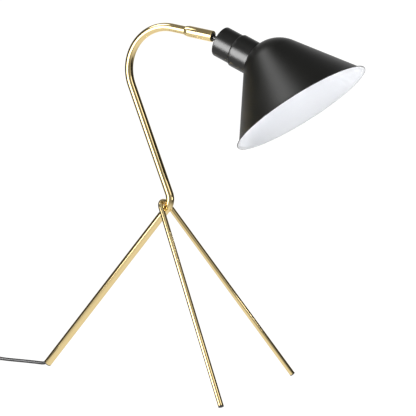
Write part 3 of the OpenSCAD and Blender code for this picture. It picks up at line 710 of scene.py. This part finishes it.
def shade_part(name, outline, material, slot):
    """One coat of the shade's wall, with the hole for the neck."""
    place = head_axis(DOME_FROM) @ Matrix.Rotation(math.radians(SHADE_BEND), 4, "Y")
    shell = turned(name, [tuple(p) for p in outline], place, material, steps=192)
    cutter = link("hole", bpy.data.meshes.new("hole"))
    bm = bmesh.new()
    bmesh.ops.create_cone(bm, cap_ends=True, segments=128, radius1=NECK_R - SHEET, radius2=NECK_R - SHEET,
                          depth=DOME_R, matrix=head_axis(DOME_FROM - DOME_R / 2 - 1 * MM))
    bm.to_mesh(cutter.data)
    bm.free()
    cut = shell.modifiers.new("hole", "BOOLEAN")
    cut.object, cut.operation, cut.solver = cutter, "DIFFERENCE", "EXACT"
    baked(shell, 40)
    bpy.data.objects.remove(cutter)
    return stands_for(shell, "head", slot, "shade")


def make_shade():
    """A black skin that also makes the wall's whole edge, and a white lining that stops just inside it."""
    edge = [shade_line(0)[-1], shade_line(SHEET)[-1], shade_line(SHEET, LINING_SHORT)[-1]]
    skin = shade_line(0)[:-1] + edge + shade_line(SKIN, LINING_SHORT)[::-1]
    lining = shade_line(SKIN, LINING_SHORT) + shade_line(SHEET, LINING_SHORT)[::-1]
    shade_part("shade_skin", skin, SHADE_BLACK, "shade_black")
    shade_part("shade_lining", lining, SHADE_WHITE, "shade_black")


def rings(*corners, gap=4 * MM):
    """An outline through the corners, given in millimetres, with more points on its long straights."""
    points = [Vector(corner) * MM for corner in corners]
    line = []
    for a, b in zip(points, points[1:] + points[:1]):
        parts = math.ceil((b - a).length / gap)
        line += [tuple(a.lerp(b, i / parts)) for i in range(parts)]
    return line


def make_cap_and_neck():
    """The two sleeves behind the shade, as radius and distance along the socket's axis."""
    round_edge = [(20.6 + 1.5 * math.sin(math.radians(a)), 18.5 - 1.5 * math.cos(math.radians(a)))
                  for a in range(0, 91, 10)]
    cap = rings((5.05, 17), *round_edge, (22.1, 49.8), (21.95, 50), (21.3, 50), (21.3, 17.8), (5.05, 17.8))
    stands_for(turned("cap", cap, head_axis(0), HEAD_BLACK), "head", "socket_black", "socket_cap")
    neck = rings((22.45, 45.1), (22.75, 45.05), (24, 46.8), (24.1, 47.1), (24.1, 75.26), (23.3, 74.83),
                 (23.3, 61.2), (19.7, 61.2), (19.7, 60), (23.3, 60), (23.3, 46.4), (22.4, 46.4))
    stands_for(turned("neck", neck, head_axis(0), HEAD_BLACK), "head", "socket_black", "neck_sleeve")


def make_screw_shell():
    """The shell for the bulb, with the rolled thread that the CAD node leaves plain."""
    rises = [SHELL_FROM + SHELL_LEN * i / SHELL_ROWS for i in range(SHELL_ROWS + 1)]
    inner, outer = SHELL_R - THREAD_DEPTH, SHELL_R - THREAD_DEPTH + SHELL_WALL
    tube = [(inner, h) for h in rises] + [(outer, h) for h in rises[::-1]]
    shell = turned("screw_shell_threaded", tube, head_axis(0), CONTACT_BRASS, steps=120,
                   thread=THREAD_DEPTH, pitch=THREAD_PITCH)
    stands_for(shell, "head", "contact_brass", "screw_shell")
    bottom = rings((6.5, 45.5), (12.5, 45.5), (12.5, 46), (6.5, 46))
    disc = turned("screw_shell_floor", bottom, head_axis(0), CONTACT_BRASS)
    stands_for(disc, "head", "contact_brass", "screw_shell")


make_shade()
make_cap_and_neck()
make_screw_shell()


# ---------------------------------------------------------------- finishes of the CAD nodes

FINISHES = {
    "braze_joint": FILLER_BRASS, "tube_cable": PLASTIC_BLACK, "stand_wires": CORE_BROWN,
    "collar_screw": STEEL, "disc_springs": SPRING_STEEL, "pressure_cup": STEEL, "swivel_ball": STEM_BLACK,
    "terminal_blocks": CONTACT_BRASS, "terminal_screws": STEEL, "centre_contact": CONTACT_BRASS,
    "head_wires": CORE_BLUE, "switch_contacts": CONTACT_BRASS,
}
for node, finish in FINISHES.items():
    for slot in NODES[node].material_slots:
        slot.material = finish

# Nodes whose edges are eased, with the width of the easing in millimetres
EASED = {
    "swivel_collar": (PART_BRASS, 0.25), "lock_nut": (STEEL, 0.2), "holder_body": (HOLDER_BLACK, 0.4),
    "contact_base": (BASE_WHITE, 0.4), "holder_skirt": (HOLDER_BLACK, 0.3),
    "shade_ring": (HOLDER_BLACK, 0.3),
    "rear_foot_bush": (RUBBER, 0.3), "front_foot_pads": (RUBBER, 0.3), "cord_tie": (RUBBER, 0.4),
    "switch_base": (PLASTIC_BLACK, 0.6), "switch_cover": (PLASTIC_BLACK, 0.6),
    "switch_rocker": (PLASTIC_BLACK, 0.5), "switch_screws": (STEEL, 0.15), "plug_body": (PLASTIC_BLACK, 0.9),
    "plug_relief": (PLASTIC_BLACK, 0.3), "plug_pins": (PIN_NICKEL, 0.2),
}
for node, (finish, width) in EASED.items():
    eased(node, finish, width * MM)


# ---------------------------------------------------------------- floor and light

FLOOR_HALF, FLOOR_Z = 30, -0.5 * MM     # half its width, and its height, in metres
FLOOR_GLOW, FLOOR_GREY = 0.99, 0.1


def make_floor():
    """A white table whose own glow hides its shadows, and that mirrors don't see."""
    corners = [(x * FLOOR_HALF, y * FLOOR_HALF, FLOOR_Z) for x, y in ((-1, -1), (1, -1), (1, 1), (-1, 1))]
    mesh = bpy.data.meshes.new("floor")
    mesh.from_pydata(corners, [], [(0, 1, 2, 3)])
    finish = Finish("floor_white")
    clouds = finish.noise(0.4, 2)
    tone = finish.blend(clouds, [0.99, 0.99, 0.99, 1], [1, 1, 1, 1])
    shader = finish.add("ShaderNodeBsdfPrincipled", None,
                        {"Base Color": [FLOOR_GREY] * 3 + [1], "Roughness": 0.8, "Emission Color": tone,
                         "Emission Strength": FLOOR_GLOW})
    finish.end("ShaderNodeOutputMaterial", shader)
    floor = link("floor", mesh, finish.material)
    floor.visible_glossy = floor.visible_diffuse = floor.visible_shadow = False


# The room's light near the table, how much of it is gone higher up, and the height of a direction at
# which it changes, with the softness of that change
TABLE_LIGHT, ROOM_DROP, TABLE_EDGE, TABLE_SOFT = 0.95, 0.72, -0.48, 0.32
# What stands round the lamp: azimuth from the camera, elevation and half width, in degrees, and light
PANELS = [(180, -5, 40, 0.50), (-50, -8, 28, 0.40), (-130, 0, 40, -0.20), (40, 10, 25, 0.32),
          (90, -8, 50, -0.20), (20, 54, 30, 0.38)]
PANEL_SOFT = 0.6                  # how soft a panel's edge is, as a share of its width


def make_world():
    """White to the eye. To the lamp, a grey room with a pale table and with pale and dark panels."""
    world = bpy.data.worlds.new("studio")
    world.use_nodes = True
    bpy.context.scene.world = world
    graph = Graph(world.node_tree)
    way = graph.add("ShaderNodeTexCoord", out="Generated")
    height = graph.add("ShaderNodeSeparateXYZ", None, {0: way}, out="Z")
    room = TABLE_LIGHT - ROOM_DROP * height.above(TABLE_EDGE, TABLE_SOFT)
    for azimuth, elevation, half, light in PANELS:
        facing = graph.add("ShaderNodeVectorMath", {"operation": "DOT_PRODUCT"},
                           {0: way, 1: beside_camera(azimuth, elevation)}, out="Value")
        edge = math.cos(math.radians(half))
        room = room + light * facing.above(edge, (1 - edge) * PANEL_SOFT)
    seen = graph.add("ShaderNodeLightPath", out="Is Camera Ray")
    shader = graph.add("ShaderNodeBackground", None,
                       {"Color": (1, 1, 1, 1), "Strength": room * (1 - seen) + seen})
    graph.end("ShaderNodeOutputWorld", shader)


make_floor()
make_world()
soft_box("key", -55, 9, 1.8, (1.0, 1.3), 82)
soft_box("high", -98, 50, 0.55, (0.40, 0.40), 0.15, aim=Vector((0.14, 0, 0.43)), spread=34)
soft_box("fill", 37, 24, 2.0, (0.6, 0.8), 2.2)
soft_box("under", 60, -12, 1.0, (0.3, 0.3), 0.72, aim=Vector((0.125, -0.01, 0.42)), spread=30)
bpy.context.scene.view_settings.view_transform = "Standard"
bpy.context.scene.cycles.sample_clamp_direct = 2.5    # so that a thin glint has smoother edges

length_of(LEAD_LINE)
length_of(FLEX_LINE)
